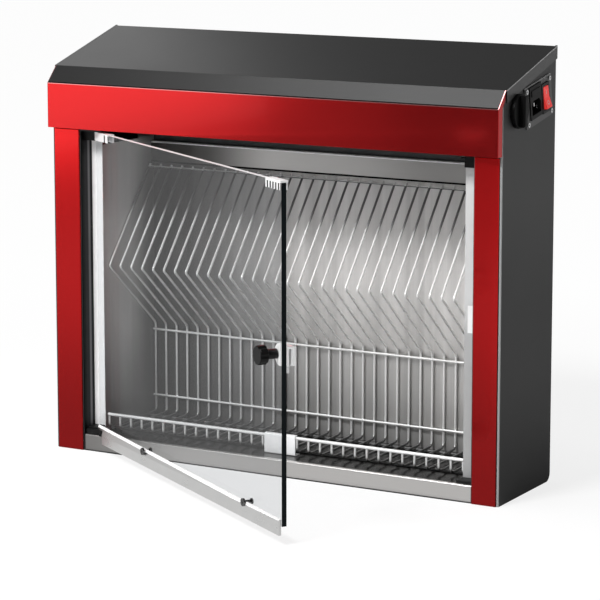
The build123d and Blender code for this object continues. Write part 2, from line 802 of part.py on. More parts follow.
with BuildPart() as ballast:
    slab(span(0, ballast_size[0]), (front + ballast_depth, front + ballast_depth + ballast_size[1]),
         (tray_top, tray_top + ballast_size[2]))
save(ballast, "ballast")

starter_at = (chamber - gear_from_side, liner_rear - gear_from_rear)
with BuildPart() as starter_base:
    slab(span(starter_at[0], starter_socket[0]), span(starter_at[1], starter_socket[1]),
         (tray_top, tray_top + starter_socket[2]))
save(starter_base, "starter_socket")

with BuildPart() as starter:
    rod(Plane((starter_at[0], starter_at[1], tray_top + starter_socket[2])), starter_radius,
        starter_length)
    fillet(starter.edges().filter_by(GeomType.CIRCLE).sort_by(Axis.Z)[-1], bend_radius)
save(starter, "starter")

terminal_at = (gear_from_side - chamber, liner_rear - gear_from_rear)
with BuildPart() as terminals:
    slab(span(terminal_at[0], terminal_size[0]), span(terminal_at[1], terminal_size[1]),
         (tray_top, tray_top + terminal_size[2]))
save(terminals, "terminal_block")

# ---- Side fittings ----------------------------------------------------------------------------

inlet_x, inlet_y = inlet_offset
socket_at = (inlet_x, inlet_y - socket_drop)
drawer_at = (inlet_x, inlet_y + drawer_rise)
flange_face = plate_thickness + inlet_flange_thickness
rocker_x, rocker_y = rocker_offset
fit = drawer_clearance

with BuildPart() as side_plate:
    with Locations(side_frame.location):
        Box(plate_size[0], plate_size[1], plate_thickness, align=(Align.CENTER, Align.CENTER, Align.MIN))
    fillet(side_plate.edges().filter_by(Axis.X), plate_corner)
    slab(span(inlet_x, inlet_size[0] + 2 * fit), span(inlet_y, inlet_size[1] + 2 * fit),
         (-sheet, flange_face), side_frame, mode=Mode.SUBTRACT)
    slab(span(rocker_x, rocker_size[0] + 4 * fit), span(rocker_y, rocker_size[1] + 4 * fit),
         (-sheet, flange_face), side_frame, mode=Mode.SUBTRACT)
save(side_plate, "side_plate")

with BuildPart() as plate_screws:
    for column in (-1, 1):
        for row in (-1, 1):
            corner = on_side(column * plate_screw_spacing[0] / 2, row * plate_screw_spacing[1] / 2,
                             plate_thickness)
            rod(corner, plate_screw_radius, plate_screw_head)
save(plate_screws, "side_plate_screws")

with BuildPart() as inlet:
    slab(span(inlet_x, inlet_size[0]), span(inlet_y, inlet_size[1]),
         (-inlet_depth, plate_thickness), side_frame)
    slab(span(inlet_x, inlet_flange[0]), span(inlet_y, inlet_flange[1]),
         (plate_thickness, flange_face), side_frame)
    wide, tall = socket_size[0] / 2, socket_size[1] / 2
    outline(on_side(socket_at[0], socket_at[1], flange_face - socket_depth),
            [(-wide, -tall), (wide, -tall), (wide, tall - socket_chamfer), (wide - socket_chamfer, tall),
             (socket_chamfer - wide, tall), (-wide, tall - socket_chamfer)],
            socket_depth, mode=Mode.SUBTRACT)
    slab(span(drawer_at[0], drawer_size[0] + 2 * fit), span(drawer_at[1], drawer_size[1] + 2 * fit),
         (flange_face - drawer_length - fit, flange_face), side_frame, mode=Mode.SUBTRACT)
save(inlet, "mains_inlet")

with BuildPart() as blades:
    for column, rise in ((-1, -blade_rise), (0, blade_rise), (1, -blade_rise)):
        slab(span(socket_at[0] + column * blade_spacing, blade_size[0]),
             span(socket_at[1] + rise, blade_size[1]),
             (flange_face - socket_depth, flange_face - socket_depth + blade_length), side_frame)
save(blades, "inlet_blades")

with BuildPart() as drawer:
    slab(span(drawer_at[0], drawer_size[0]), span(drawer_at[1], drawer_size[1]),
         (flange_face - drawer_length, flange_face + plate_thickness / 2), side_frame)
save(drawer, "fuse_drawer")

bezel_face = plate_thickness + bezel_thickness
with BuildPart() as bezel:
    slab(span(rocker_x, bezel_size[0]), span(rocker_y, bezel_size[1]),
         (plate_thickness, bezel_face), side_frame)
    slab(span(rocker_x, rocker_size[0] + 2 * fit), span(rocker_y, rocker_size[1] + 2 * fit),
         (-bezel_depth, plate_thickness), side_frame)
    slab(span(rocker_x, rocker_size[0] - 2 * rocker_wall), span(rocker_y, rocker_size[1] - 2 * rocker_wall),
         (-rocker_pocket, bezel_face), side_frame, mode=Mode.SUBTRACT)
save(bezel, "rocker_bezel")

rocker_width = rocker_size[0] - 2 * rocker_wall - 2 * rocker_clearance
rocker_half = rocker_size[1] / 2 - rocker_wall - rocker_swing
rocker_axis = on_side(rocker_x, rocker_y, bezel_face - rocker_axis_depth)
tilt = radians(rocker_tilt)
rocker_profile = Plane(rocker_axis.origin - side_frame.x_dir * rocker_width / 2,
                       x_dir=side_frame.y_dir * cos(tilt) - side_frame.z_dir * sin(tilt),
                       z_dir=side_frame.x_dir)
with BuildPart() as rocker:
    outline(rocker_profile,
            [(-rocker_half, rocker_axis_depth + rocker_rise), (0, rocker_axis_depth + rocker_dip),
             (rocker_half, rocker_axis_depth + rocker_rise), (rocker_half, 0),
             (rocker_foot, -rocker_root), (-rocker_foot, -rocker_root), (-rocker_half, 0)],
            rocker_width)
save(rocker, "rocker")

timer_at = (front + timer_depth, timer_height)
with BuildPart() as timer_body:
    slab((half - sheet - timer_body_size[2], half - sheet),
         span(timer_at[0], timer_body_size[0]), span(timer_at[1], timer_body_size[1]))
    rod(Plane((half - sheet - timer_shaft_inside, timer_at[0], timer_at[1]), z_dir=(1, 0, 0)),
        timer_shaft_radius + timer_shaft_clearance, 2 * timer_shaft_inside, mode=Mode.SUBTRACT)
save(timer_body, "timer_body")

knob_base = half + timer_knob_gap
with BuildPart() as timer_shaft:
    rod(Plane((half - timer_shaft_inside, timer_at[0], timer_at[1]), z_dir=(1, 0, 0)), timer_shaft_radius,
        timer_shaft_inside + timer_knob_gap)
save(timer_shaft, "timer_shaft")

with BuildPart() as timer_knob:
    rod(Plane((knob_base, timer_at[0], timer_at[1]), z_dir=(1, 0, 0)), timer_knob_radius,
        timer_knob_skirt)
    fillet(timer_knob.edges().filter_by(GeomType.CIRCLE).sort_by(Axis.X)[-1], stile_edge_radius)
    grip_top = knob_base + timer_knob_skirt + timer_grip_rise
    slab((knob_base + timer_knob_skirt, grip_top), span(timer_at[0], timer_grip_width),
         span(timer_at[1], 2 * (timer_knob_radius - timer_grip_radius)))
    fillet(timer_knob.faces().sort_by(Axis.X)[-1].edges(), timer_grip_radius)
save(timer_knob, "timer_knob")
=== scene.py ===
from math import cos, pi, radians, sin

import bpy
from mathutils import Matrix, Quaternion, Vector


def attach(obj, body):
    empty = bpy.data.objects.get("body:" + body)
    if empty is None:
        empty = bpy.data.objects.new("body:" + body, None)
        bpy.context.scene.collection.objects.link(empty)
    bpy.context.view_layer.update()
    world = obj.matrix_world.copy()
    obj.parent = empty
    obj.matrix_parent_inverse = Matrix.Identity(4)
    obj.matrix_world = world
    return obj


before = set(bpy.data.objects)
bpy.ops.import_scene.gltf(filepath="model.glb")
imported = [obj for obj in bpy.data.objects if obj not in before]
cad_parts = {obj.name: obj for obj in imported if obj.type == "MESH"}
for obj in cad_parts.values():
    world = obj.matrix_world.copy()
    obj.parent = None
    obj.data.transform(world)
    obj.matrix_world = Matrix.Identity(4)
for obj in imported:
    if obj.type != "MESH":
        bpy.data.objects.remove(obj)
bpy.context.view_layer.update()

# ---- Camera ------------------------------------------------------------------------------------

PICTURE = 600
SENSOR = 36.0
FOCAL_PIXELS = 2675.16
CAMERA_PLACE = (1.5408, -2.7376, 0.7791)
CAMERA_TURN = 29.314
CAMERA_PITCH = 9.169
CAMERA_SHIFT = -0.1
CAMERA_REACH = 60

camera_data = bpy.data.cameras.new("camera")
camera_data.sensor_width = SENSOR
camera_data.lens = SENSOR * FOCAL_PIXELS / PICTURE
camera_data.shift_y = CAMERA_SHIFT
camera_data.clip_end = CAMERA_REACH
camera = bpy.data.objects.new("camera", camera_data)
camera.location = CAMERA_PLACE
camera.rotation_euler = (radians(90 - CAMERA_PITCH), 0, radians(CAMERA_TURN))
bpy.context.scene.collection.objects.link(camera)
bpy.context.scene.camera = camera
bpy.context.scene.view_settings.view_transform = "Standard"

# ---- Places on the cabinet, in metres ----------------------------------------------------------

FRONT = -0.071
HALF_WIDTH = 0.3
FASCIA_TOP = 0.4525
ROOF_FRONT = (-0.0635, 0.472)
ROOF_SLOPE = 0.039 / 0.1345
REVEAL_TOP = 0.3985
BAFFLE_FOOT = 0.3431
BAFFLE_HEM = 0.3676

DOOR_TURN = radians(32.9)
DOOR_ALONG = (cos(DOOR_TURN), -sin(DOOR_TURN), 0)
DOOR_INWARD = (sin(DOOR_TURN), cos(DOOR_TURN), 0)
DOOR_HINGE = (-0.2342, -0.0677, 0)
DOOR_WIDTH = 0.48
DOOR_PLANE = Vector(DOOR_HINGE).dot(Vector(DOOR_INWARD))
HINGE_REACH = Vector(DOOR_HINGE).dot(Vector(DOOR_ALONG))
FREE_EDGE = HINGE_REACH + DOOR_WIDTH
GLASS_TOP = 0.3934
RAIL_FACE = 0.0082
RAIL_SCREW_HEIGHT = 0.0295
RAIL_SCREW_REACHES = (0.1305, 0.3957)

STRIKE_SCREW_PLACE = (0.2624, FRONT + 0.0165)
STRIKE_SCREW_HEIGHTS = (0.201, 0.220)

PLATE_PLACE = (0.3, 0.0216, 0.4516)
PLATE_TILT = radians(10)
PLATE_EDGE = 0.0232
PLATE_SCREW = (0.0312, 0.0192)
PLATE_SCREW_FACE = 0.0028
ROCKER_OFFSET = 0.017
ROCKER_AXIS_LIFT = 0.0011
ROCKER_FACE = 0.0035
ROCKER_TURN = radians(9)
ROCKER_FACE_TURN = radians(6.44)
ROCKER_MARK_OFFSET = 0.0062

# ---- Shader tools ------------------------------------------------------------------------------


class Value:
    """A number socket of a node tree, with Python's arithmetic."""

    def __init__(self, finish, socket):
        self.finish = finish
        self.socket = socket

    def reckon(self, operation, *values):
        node = self.finish.add("ShaderNodeMath", {"operation": operation}, dict(enumerate(values)))
        return Value(self.finish, node.outputs[0])

    def __add__(self, other):
        return self.reckon("ADD", self, other)

    def __radd__(self, other):
        return self.reckon("ADD", other, self)

    def __sub__(self, other):
        return self.reckon("SUBTRACT", self, other)

    def __rsub__(self, other):
        return self.reckon("SUBTRACT", other, self)

    def __mul__(self, other):
        return self.reckon("MULTIPLY", self, other)

    def __rmul__(self, other):
        return self.reckon("MULTIPLY", other, self)

    def __truediv__(self, other):
        return self.reckon("DIVIDE", self, other)

    def __rtruediv__(self, other):
        return self.reckon("DIVIDE", other, self)

    def __gt__(self, other):
        return self.reckon("GREATER_THAN", self, other)

    def __lt__(self, other):
        return self.reckon("LESS_THAN", self, other)

    def __abs__(self):
        return self.reckon("ABSOLUTE", self)

    def least(self, other):
        return self.reckon("MINIMUM", self, other)

    def power(self, other):
        return self.reckon("POWER", self, other)

    def steps(self, low, high, start=0.0, end=1.0):
        """A smooth step that runs from start at low to end at high."""
        node = self.finish.add("ShaderNodeMapRange", {"interpolation_type": "SMOOTHSTEP"},
                               {"Value": self, "From Min": low, "From Max": high,
                                "To Min": start, "To Max": end})
        return Value(self.finish, node.outputs["Result"])


class Shading:
    """An emptied node tree, and the one way to add nodes to it."""

    def __init__(self, owner):
        owner.use_nodes = True
        self.tree = owner.node_tree
        self.tree.nodes.clear()

    def put(self, node, key, value):
        socket = node.inputs[key]
        if isinstance(value, Value):
            self.tree.links.new(value.socket, socket)
        elif isinstance(value, bpy.types.NodeSocket):
            self.tree.links.new(value, socket)
        elif hasattr(value, "__len__") and len(value) == 3 and socket.type == "RGBA":
            socket.default_value = (*value, 1)
        else:
            socket.default_value = value

    def add(self, kind, settings=None, inputs=None):
        node = self.tree.nodes.new(kind)
        for key, value in (settings or {}).items():
            if key == "stops":
                ramp = node.color_ramp.elements
                while len(ramp) < len(value):
                    ramp.new(0.5)
                for stop, (place, colour) in zip(ramp, value):
                    stop.position = place
                    stop.color = (*colour, 1) if hasattr(colour, "__len__") else (colour,) * 3 + (1,)
            else:
                setattr(node, key, value)
        for key, value in (inputs or {}).items():
            self.put(node, key, value)
        return node

    def ray(self, *kinds):
        """1 on the rays of these kinds, and 0 on all others."""
        path = self.add("ShaderNodeLightPath")
        shares = [Value(self, path.outputs[f"Is {kind} Ray"]) for kind in kinds]
        return sum(shares[1:], shares[0])


class Finish(Shading):
    """A material with one Principled shader and the nodes that feed it."""

    def __init__(self, name, **constants):
        self.material = bpy.data.materials.new(name)
        super().__init__(self.material)
        self.output = self.add("ShaderNodeOutputMaterial")
        self.shader = self.add("ShaderNodeBsdfPrincipled")
        self.put(self.output, "Surface", self.shader.outputs[0])
        for key, value in constants.items():
            self.set(key.replace("_", " ").title().replace("Ior", "IOR"), value)

    def place(self, stretch=(1, 1, 1)):
        """The place on the object, in metres, stretched along each axis."""
        where = self.add("ShaderNodeTexCoord")
        return self.add("ShaderNodeMapping", {}, {"Vector": where.outputs["Object"],
                                                  "Scale": stretch}).outputs[0]

    def axis(self, name):
        """One coordinate of the place on the object, in metres."""
        where = self.add("ShaderNodeTexCoord")
        parts = self.add("ShaderNodeSeparateXYZ", {}, {0: where.outputs["Object"]})
        return Value(self, parts.outputs[name])

    def facing(self, name):
        """One part of the surface's direction."""
        where = self.add("ShaderNodeTexCoord")
        parts = self.add("ShaderNodeSeparateXYZ", {}, {0: where.outputs["Normal"]})
        return Value(self, parts.outputs[name])

    def measured(self, output, arrow):
        """The place on the object, or the surface's direction, measured along an arrow."""
        where = self.add("ShaderNodeTexCoord")
        product = self.add("ShaderNodeVectorMath", {"operation": "DOT_PRODUCT"},
                           {0: where.outputs[output], 1: arrow})
        return Value(self, product.outputs["Value"])

    def noise(self, scale, detail=3, roughness=0.5, stretch=(1, 1, 1)):
        node = self.add("ShaderNodeTexNoise", {}, {"Vector": self.place(stretch), "Scale": scale,
                                                   "Detail": detail, "Roughness": roughness})
        return Value(self, node.outputs[0])

    def blend(self, factor, one, other):
        """A colour between two colours."""
        node = self.add("ShaderNodeMix", {"data_type": "RGBA"}, {0: factor, 6: one, 7: other})
        return node.outputs[2]

    def bump(self, height, distance, strength=1.0):
        node = self.add("ShaderNodeBump", {}, {"Height": height, "Distance": distance,
                                               "Strength": strength})
        self.set("Normal", node.outputs[0])

    def set(self, key, value):
        self.put(self.shader, key, value)

    def tint(self, mask, colour):
        """Bring the base colour to another colour where the mask is 1."""
        base = self.shader.inputs["Base Color"].links[0].from_socket
        self.set("Base Color", self.blend(mask, base, colour))


def give(finish, *names):
    """Put one material on CAD nodes."""
    for name in names:
        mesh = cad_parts[name].data
        mesh.materials.clear()
        mesh.materials.append(finish.material)


# ---- Finishes ----------------------------------------------------------------------------------

GRAIN_STRETCH = 0.004
UPRIGHT = (1, 1, GRAIN_STRETCH)


def red_lacquer(name, foot_shaded):
    """Deep red metallic lacquer with fine orange peel; where asked, painted shade darkens it towards the
    foot.
    """
    finish = Finish(name, metallic=0.92, coat_weight=0.12, coat_roughness=0.05)
    cloud = finish.noise(7, 3)
    flake = finish.noise(2600, 1)
    if foot_shaded:
        height = finish.axis("Z")
        body = finish.blend(cloud, (0.88, 0.016, 0.018), (0.98, 0.022, 0.024))
        # Painted shade: the red darkens towards the foot.
        foot_shade_level = 0.27 + 0.35 * height.steps(0.02, 0.25) + 0.38 * height.steps(0.22, 0.37)
        body = finish.blend(foot_shade_level, (0, 0, 0), body)
    else:
        body = finish.blend(cloud, (0.68, 0.020, 0.022), (0.78, 0.026, 0.028))
    finish.set("Base Color", finish.blend(0.2 * flake, body, (0.8, 0.02, 0.02)))
    finish.set("Roughness", 0.13 + 0.05 * cloud)
    finish.bump(finish.noise(800, 2), 0.00001, 0.25)
    return finish


def dark_lacquer(name, colour, roughness, specular):
    """Dark powder coat with a fine grain."""
    finish = Finish(name, specular_ior_level=specular)
    cloud = finish.noise(6, 3)
    grain = finish.noise(1800, 2)
    lighter = tuple(1.35 * part for part in colour)
    finish.set("Base Color", finish.blend(0.5 * cloud + 0.5 * grain, colour, lighter))
    finish.set("Roughness", roughness + 0.1 * cloud)
    finish.bump(grain, 0.00003, 0.35)
    return finish


def brushed(name, along, colour, roughness, streak=0.16):
    """Brushed sheet whose grain runs along one axis, 0, 1 or 2."""
    finish = Finish(name, metallic=1.0)
    stretch = tuple(GRAIN_STRETCH if axis == along else 1.0 for axis in range(3))
    grain = finish.noise(1400, 4, 0.7, stretch)
    bands = finish.noise(60, 3, 0.6, stretch)
    cloud = finish.noise(5, 2)
    darker = tuple((1 - streak) * part for part in colour)
    finish.set("Base Color", finish.blend(0.6 * bands + 0.4 * grain, darker, colour))
    finish.set("Roughness", roughness + 0.16 * (bands - 0.5) + 0.08 * cloud)
    finish.bump(grain, 0.00003, 0.5)
    return finish


def hemmed(finish, foot_height, hem_height):
    """Paint a highlight along the folded hem at the top of a brushed sheet, and a painted shadow line along
    its cut lower edge.
    """
    height = finish.axis("Z")
    # Painted highlight: the hem is near white and less metallic.
    hem_highlight = height.steps(hem_height - 0.0002, hem_height + 0.0002)
    finish.tint(hem_highlight, (0.95, 0.95, 0.95))
    # Painted shadow: a near-black line along the cut lower edge.
    finish.tint(1 - height.steps(foot_height + 0.0018, foot_height + 0.0026), (0.004, 0.004, 0.004))
    finish.set("Metallic", 1 - 0.8 * hem_highlight)
    return finish


def shaded(finish, level):
    """Paint shade into a finish, darkening it where the level is under 1."""
    finish.tint(1 - level, (0, 0, 0))
    return finish


def satin(name, colour, metallic=0.35):
    """Pale satin-anodised sheet with a faint upright grain."""
    finish = Finish(name, metallic=metallic)
    grain = finish.noise(900, 3, 0.6, (1, 1, 0.01))
    finish.set("Base Color", finish.blend(grain, tuple(0.94 * part for part in colour), colour))
    finish.set("Roughness", 0.38 + 0.1 * grain)
    finish.bump(grain, 0.00002, 0.4)
    return finish


def moulded(name, colour, roughness, specular=0.4):
    """Moulded plastic with a fine spark-eroded grain."""
    finish = Finish(name, specular_ior_level=specular)
    cloud = finish.noise(40, 3)
    finish.set("Base Color", finish.blend(cloud, tuple(0.8 * part for part in colour), colour))
    finish.set("Roughness", roughness + 0.08 * cloud)
    finish.bump(finish.noise(1600, 2), 0.00004, 0.35)
    return finish


def plated(name, colour, roughness):
    """Bright plating with a light haze."""
    finish = Finish(name, metallic=1.0)
    cloud = finish.noise(70, 4)
    finish.set("Base Color", finish.blend(cloud, tuple(0.88 * part for part in colour), colour))
    finish.set("Roughness", roughness + 0.1 * cloud)
    finish.bump(finish.noise(700, 3), 0.00002, 0.3)
    return finish


def fascia_lacquer():
    """The fascia's red, with painted shade deepening its right end and a painted highlight along the fold at
    its top.
    """
    finish = red_lacquer("fascia_red", False)
    # Painted shade towards the right end.
    finish.tint(0.28 * finish.axis("X").steps(0.08, 0.25), (0, 0, 0))
    # Painted highlight along the top fold.
    fold_highlight = finish.axis("Z").steps(FASCIA_TOP - 0.0012, FASCIA_TOP - 0.0004)
    finish.tint(0.6 * fold_highlight * (finish.facing("Y") < -0.3), (0.9, 0.55, 0.55))
    return finish


def roof_coat():
    """The roof's gloss charcoal, with painted light on its side lip and a painted highlight along the lip's
    top edge.
    """
    finish = dark_lacquer("roof_paint", (0.0085, 0.0085, 0.0085), 0.27, 0.3)
    lit_lip = finish.facing("X") > 0.5
    below = finish.axis("Z") - ROOF_FRONT[1] - ROOF_SLOPE * (finish.axis("Y") - ROOF_FRONT[0])
    # Painted light on the side lip, and a painted highlight along its top edge.
    finish.tint(lit_lip, (0.075, 0.075, 0.075))
    finish.tint(lit_lip * (below > -0.0014), (0.4, 0.4, 0.4))
    return finish


def right_side_coat():
    """Charcoal paint with painted light that lightens it towards the roof, and a painted highlight along the
    fold at the front corner.
    """
    finish = dark_lacquer("case_paint", (0.020, 0.020, 0.020), 0.42, 0.28)
    # Painted light towards the roof.
    finish.tint(0.6 * finish.axis("Z").steps(0.2, 0.38), (0.07, 0.07, 0.07))
    # Painted highlight along the front corner's fold.
    corner = (finish.axis("X") > HALF_WIDTH - 0.0022) * (finish.axis("Y") < FRONT + 0.0016)
    finish.tint(corner, (0.3, 0.3, 0.3))
    return finish


def left_side_coat():
    """Charcoal paint, with painted shade making the reveal near black and one soft painted upright highlight
    across it.
    """
    finish = dark_lacquer("left_case_paint", (0.020, 0.020, 0.020), 0.42, 0.1)
    depth = finish.axis("Y")
    glow = depth.steps(-0.0590, -0.0560) * (1 - depth.steps(-0.0545, -0.0520))
    highlight_shoulder = depth.steps(-0.0670, -0.0640) * (1 - depth.steps(-0.0555, -0.0520))
    reveal = (finish.facing("X") > 0.5) * (finish.axis("Z") < REVEAL_TOP)
    # Painted shade in the reveal, with a painted highlight and its softer shoulder across it.
    finish.tint(reveal, (0.001, 0.001, 0.001))
    finish.tint(reveal * highlight_shoulder, (0.014, 0.014, 0.016))
    finish.tint(reveal * glow, (0.16, 0.155, 0.16))
    return finish


def plate_coat():
    """The side plate's charcoal, with a painted highlight along its upper edge."""
    finish = dark_lacquer("plate_paint", (0.052, 0.052, 0.052), 0.3, 0.5)
    rise = (finish.axis("Z") - PLATE_PLACE[2]) * cos(PLATE_TILT)
    rise = rise - (finish.axis("Y") - PLATE_PLACE[1]) * sin(PLATE_TILT)
    # Painted highlight along the upper edge.
    finish.tint(rise > PLATE_EDGE, (0.3, 0.3, 0.3))
    return finish


def chamber_back():
    """The back wall: upright brushed grain in broad bands, with painted shade darkening it to the left and
    towards the floor.
    """
    finish = brushed("steel_back", 2, (0.98, 0.96, 0.94), 0.3, 0.42)
    bands = finish.noise(34, 3, 0.6, UPRIGHT)
    # Painted shade: darker to the left and towards the floor.
    level = 0.12 + 0.88 * finish.axis("X").steps(-0.24, 0.04)
    level = level * (0.5 + 0.5 * finish.axis("Z").steps(0.04, 0.26))
    finish.set("Metallic", 0.5)
    return shaded(finish, (level * (0.5 + bands)).least(1))


def chamber_side(name, banded):
    """A side wall with painted shade darkening it towards the back and the floor, with broad upright bands if
    asked.
    """
    finish = brushed(name, 2, (0.98, 0.96, 0.94), 0.3, 0.42)
    depth = finish.axis("Y")
    # Painted shade towards the back and the floor.
    level = 0.8 + 0.2 * depth.steps(-0.045, -0.01) - 0.7 * depth.steps(0.004, 0.062)
    level = level * (0.35 + 0.65 * finish.axis("Z").steps(0.02, 0.2))
    if banded:
        bands = finish.noise(40, 2, 0.5, UPRIGHT)
        level = (level * (0.92 + 0.4 * bands)).least(1)
    finish.set("Metallic", 0.4)
    return shaded(finish, level)


def baffle_steel():
    """The rear baffle, with painted shade that is darkest at its left end and leaves it brightest left of its
    middle.
    """
    finish = brushed("steel_baffle", 0, (0.76, 0.74, 0.72), 0.26)
    across = finish.axis("X")
    # Painted shade along the baffle.
    level = 0.2 + 0.8 * across.steps(-0.17, -0.06) - 0.3 * across.steps(0.03, 0.16)
    return hemmed(shaded(finish, level), BAFFLE_FOOT, BAFFLE_HEM)


def jamb_right_steel():
    """The right jamb's satin, with painted shade below the strike."""
    finish = satin("jamb_right_satin", (0.84, 0.84, 0.84))
    # Painted shade below the strike.
    return shaded(finish, 0.54 + 0.24 * finish.axis("Z").steps(0.18, 0.24))


def sill_steel():
    """Brushed sill, with painted shade at its left end."""
    finish = brushed("sill_steel", 0, (0.86, 0.84, 0.82), 0.3)
    return shaded(finish, 0.38 + 0.54 * finish.axis("X").steps(-0.26, -0.1))


def bevelled_rail():
    """The door rail: brushed lengthways, with a painted highlight along the bevel at its top."""
    finish = brushed("rail_steel", 0, (0.90, 0.90, 0.89), 0.26, 0.2)
    along = finish.measured("Object", DOOR_ALONG) - HINGE_REACH
    lower = 0.0300 - 0.0095 * along
    # Painted highlight: the bevel is near white and less metallic.
    bevel_highlight = (finish.facing("Z") > 0.08) * (finish.axis("Z") - lower).steps(0, 0.0006)
    finish.tint(bevel_highlight, (0.98, 0.98, 0.98))
    finish.set("Metallic", 1 - 0.75 * bevel_highlight)
    return finish


def rack_wire(name, metallic):
    """Drawn wire, with painted shade where it lies over the chamber's floor and on the upper part of its
    slope up to its top.
    """
    finish = plated(name, (0.98, 0.98, 0.97), 0.3)
    finish.set("Metallic", metallic)
    height = finish.axis("Z")
    # Painted shade over the chamber's floor and, below, on the upper part of the slope.
    finish.tint(0.9 * (1 - height.steps(0.0262, 0.0310)), (0.05, 0.05, 0.05))
    finish.tint(0.85 * height.steps(0.278, 0.300) * (height < 0.3385), (0.08, 0.08, 0.08))
    return finish


def ribbed_clip():
    """The clips' satin, with painted shade in the corner clip's grooves."""
    finish = satin("clip_satin", (0.86, 0.86, 0.86))
    out = DOOR_PLANE - finish.measured("Object", DOOR_INWARD)
    groove_shade = (out > 0.0031) * (out < 0.0043)
    # Painted shade in the grooves.
    finish.tint(groove_shade * (finish.axis("Z") < GLASS_TOP - 0.0012), (0.02, 0.02, 0.02))
    return finish


def red_with_painted_glow():
    """The rocker's translucent red, with a faint painted glow that brightens it."""
    finish = moulded("red_plastic", (0.70, 0.05, 0.045), 0.3)
    # Painted glow: emission brightens the rocker.
    finish.set("Emission Color", (0.75, 0.035, 0.03))
    finish.set("Emission Strength", 0.5)
    return finish


def pane():
    """Smoke-tinted glass: clear through its faces, black along its free edge."""
    finish = Finish("door_glass_smoke", roughness=0.25, base_color=(0.003, 0.005, 0.006))
    finish.set("Specular IOR Level", 0.08)
    endwise = abs(finish.measured("Normal", DOOR_ALONG)) > 0.5
    free_edge = endwise * (finish.measured("Object", DOOR_ALONG) > FREE_EDGE - 0.002)
    rim = (abs(finish.facing("Z")) > 0.5) * (finish.axis("Z") > GLASS_TOP - 0.001)
    slant = Value(finish, finish.add("ShaderNodeLayerWeight", {}, {"Blend": 0.5}).outputs["Facing"])
    gloss = 0.04 + 0.96 * slant.power(5)
    smear = finish.noise(14, 3)
    clear = finish.add("ShaderNodeBsdfTransparent", {}, {"Color": (0.89, 0.895, 0.90)})
    mirror = finish.add("ShaderNodeBsdfAnisotropic", {}, {"Roughness": 0.02, "Color": (1, 1, 1)})
    face = finish.add("ShaderNodeMixShader", {}, {0: gloss * (0.5 + 0.2 * smear),
                                                  1: clear.outputs[0], 2: mirror.outputs[0]})
    frosted = finish.add("ShaderNodeBsdfDiffuse", {}, {"Color": (0.72, 0.74, 0.74)})
    topped = finish.add("ShaderNodeMixShader", {}, {0: 0.62 * rim, 1: face.outputs[0],
                                                    2: frosted.outputs[0]})
    whole = finish.add("ShaderNodeMixShader", {}, {0: free_edge, 1: topped.outputs[0],
                                                   2: finish.shader.outputs[0]})
    finish.put(finish.output, "Surface", whole.outputs[0])
    return finish


red_paint = red_lacquer("stile_red", True)
fascia_paint = fascia_lacquer()
case_paint = right_side_coat()
left_case_paint = left_side_coat()
roof_paint = roof_coat()
hood_paint = dark_lacquer("hood_paint", (0.005, 0.005, 0.005), 0.3, 0.3)
plate_paint = plate_coat()
steel_back = chamber_back()
steel_left = chamber_side("steel_left", True)
steel_right = chamber_side("steel_right", False)
steel_baffle = baffle_steel()
steel_floor = brushed("steel_floor", 1, (0.07, 0.068, 0.065), 0.2, 0.3)
steel_deep = brushed("steel_deep", 1, (0.62, 0.60, 0.585), 0.25)
sill_finish = sill_steel()
jamb_left_satin = satin("jamb_left_satin", (1, 1, 1), 0.05)
jamb_right_satin = jamb_right_steel()
clip_satin = ribbed_clip()
lock_satin = satin("lock_satin", (0.86, 0.86, 0.86))
wire_steel = rack_wire("wire_steel", 0.5)
rack_rail_steel = rack_wire("rack_rail_steel", 0.35)
rail_steel = bevelled_rail()
bright_steel = plated("bright_steel", (0.84, 0.84, 0.84), 0.14)
screw_steel = plated("screw_steel", (0.15, 0.15, 0.15), 0.2)
zinc_plate = plated("zinc_plate", (0.6, 0.6, 0.58), 0.32)
black_plastic = moulded("black_plastic", (0.007, 0.007, 0.007), 0.45, 0.18)
gloss_black = moulded("gloss_black", (0.004, 0.004, 0.004), 0.34, 0.2)
timer_black = moulded("timer_black", (0.003, 0.003, 0.003), 0.4, 0.12)
red_plastic = red_with_painted_glow()
white_plastic = moulded("white_plastic", (0.75, 0.75, 0.73), 0.4)
lamp_glass = moulded("lamp_glass", (0.8, 0.82, 0.86), 0.1)
# Near black that paints the shade inside the screws' cross recesses.
recess_shade = moulded("recess_shade", (0.02, 0.02, 0.02), 0.5, 0.2)
glass = pane()

give(case_paint, "side_panel_right", "back_panel", "base_panel")
give(left_case_paint, "side_panel_left")
give(roof_paint, "roof")
give(hood_paint, "header_rail", "top_pivot_plate")
give(plate_paint, "side_plate")
give(fascia_paint, "fascia")
give(red_paint, "stile_left", "stile_right")
give(steel_back, "liner_back")
give(steel_left, "liner_left")
give(steel_right, "liner_right")
give(sill_finish, "sill")
give(steel_baffle, "rear_baffle")
give(steel_floor, "chamber_floor")
give(steel_deep, "lamp_tray")
give(jamb_left_satin, "jamb_left", "rack_clip")
give(jamb_right_satin, "jamb_right")
give(clip_satin, "hinge_clip", "corner_clip")
give(lock_satin, "strike_plate", "lock_plate", "lock_case")
give(wire_steel, "rack_wires")
give(rack_rail_steel, "rack_rails")
give(glass, "door_glass")
give(rail_steel, "door_rail")
give(screw_steel, "door_rail_screws", "door_rail_backing")
give(bright_steel, "top_pivot_pin", "bottom_pivot_pin", "latch_cam", "strike_screws",
     "side_plate_screws", "inlet_blades")
give(zinc_plate, "latch_spindle", "uv_lamp_caps", "ballast", "timer_shaft")
give(black_plastic, "bottom_pivot_block", "corner_block_top_left", "corner_block_top_right",
     "corner_block_bottom_right", "door_switch", "door_switch_plunger", "mains_inlet", "fuse_drawer")
give(gloss_black, "knob", "rocker_bezel")
give(timer_black, "timer_knob")
give(red_plastic, "rocker")
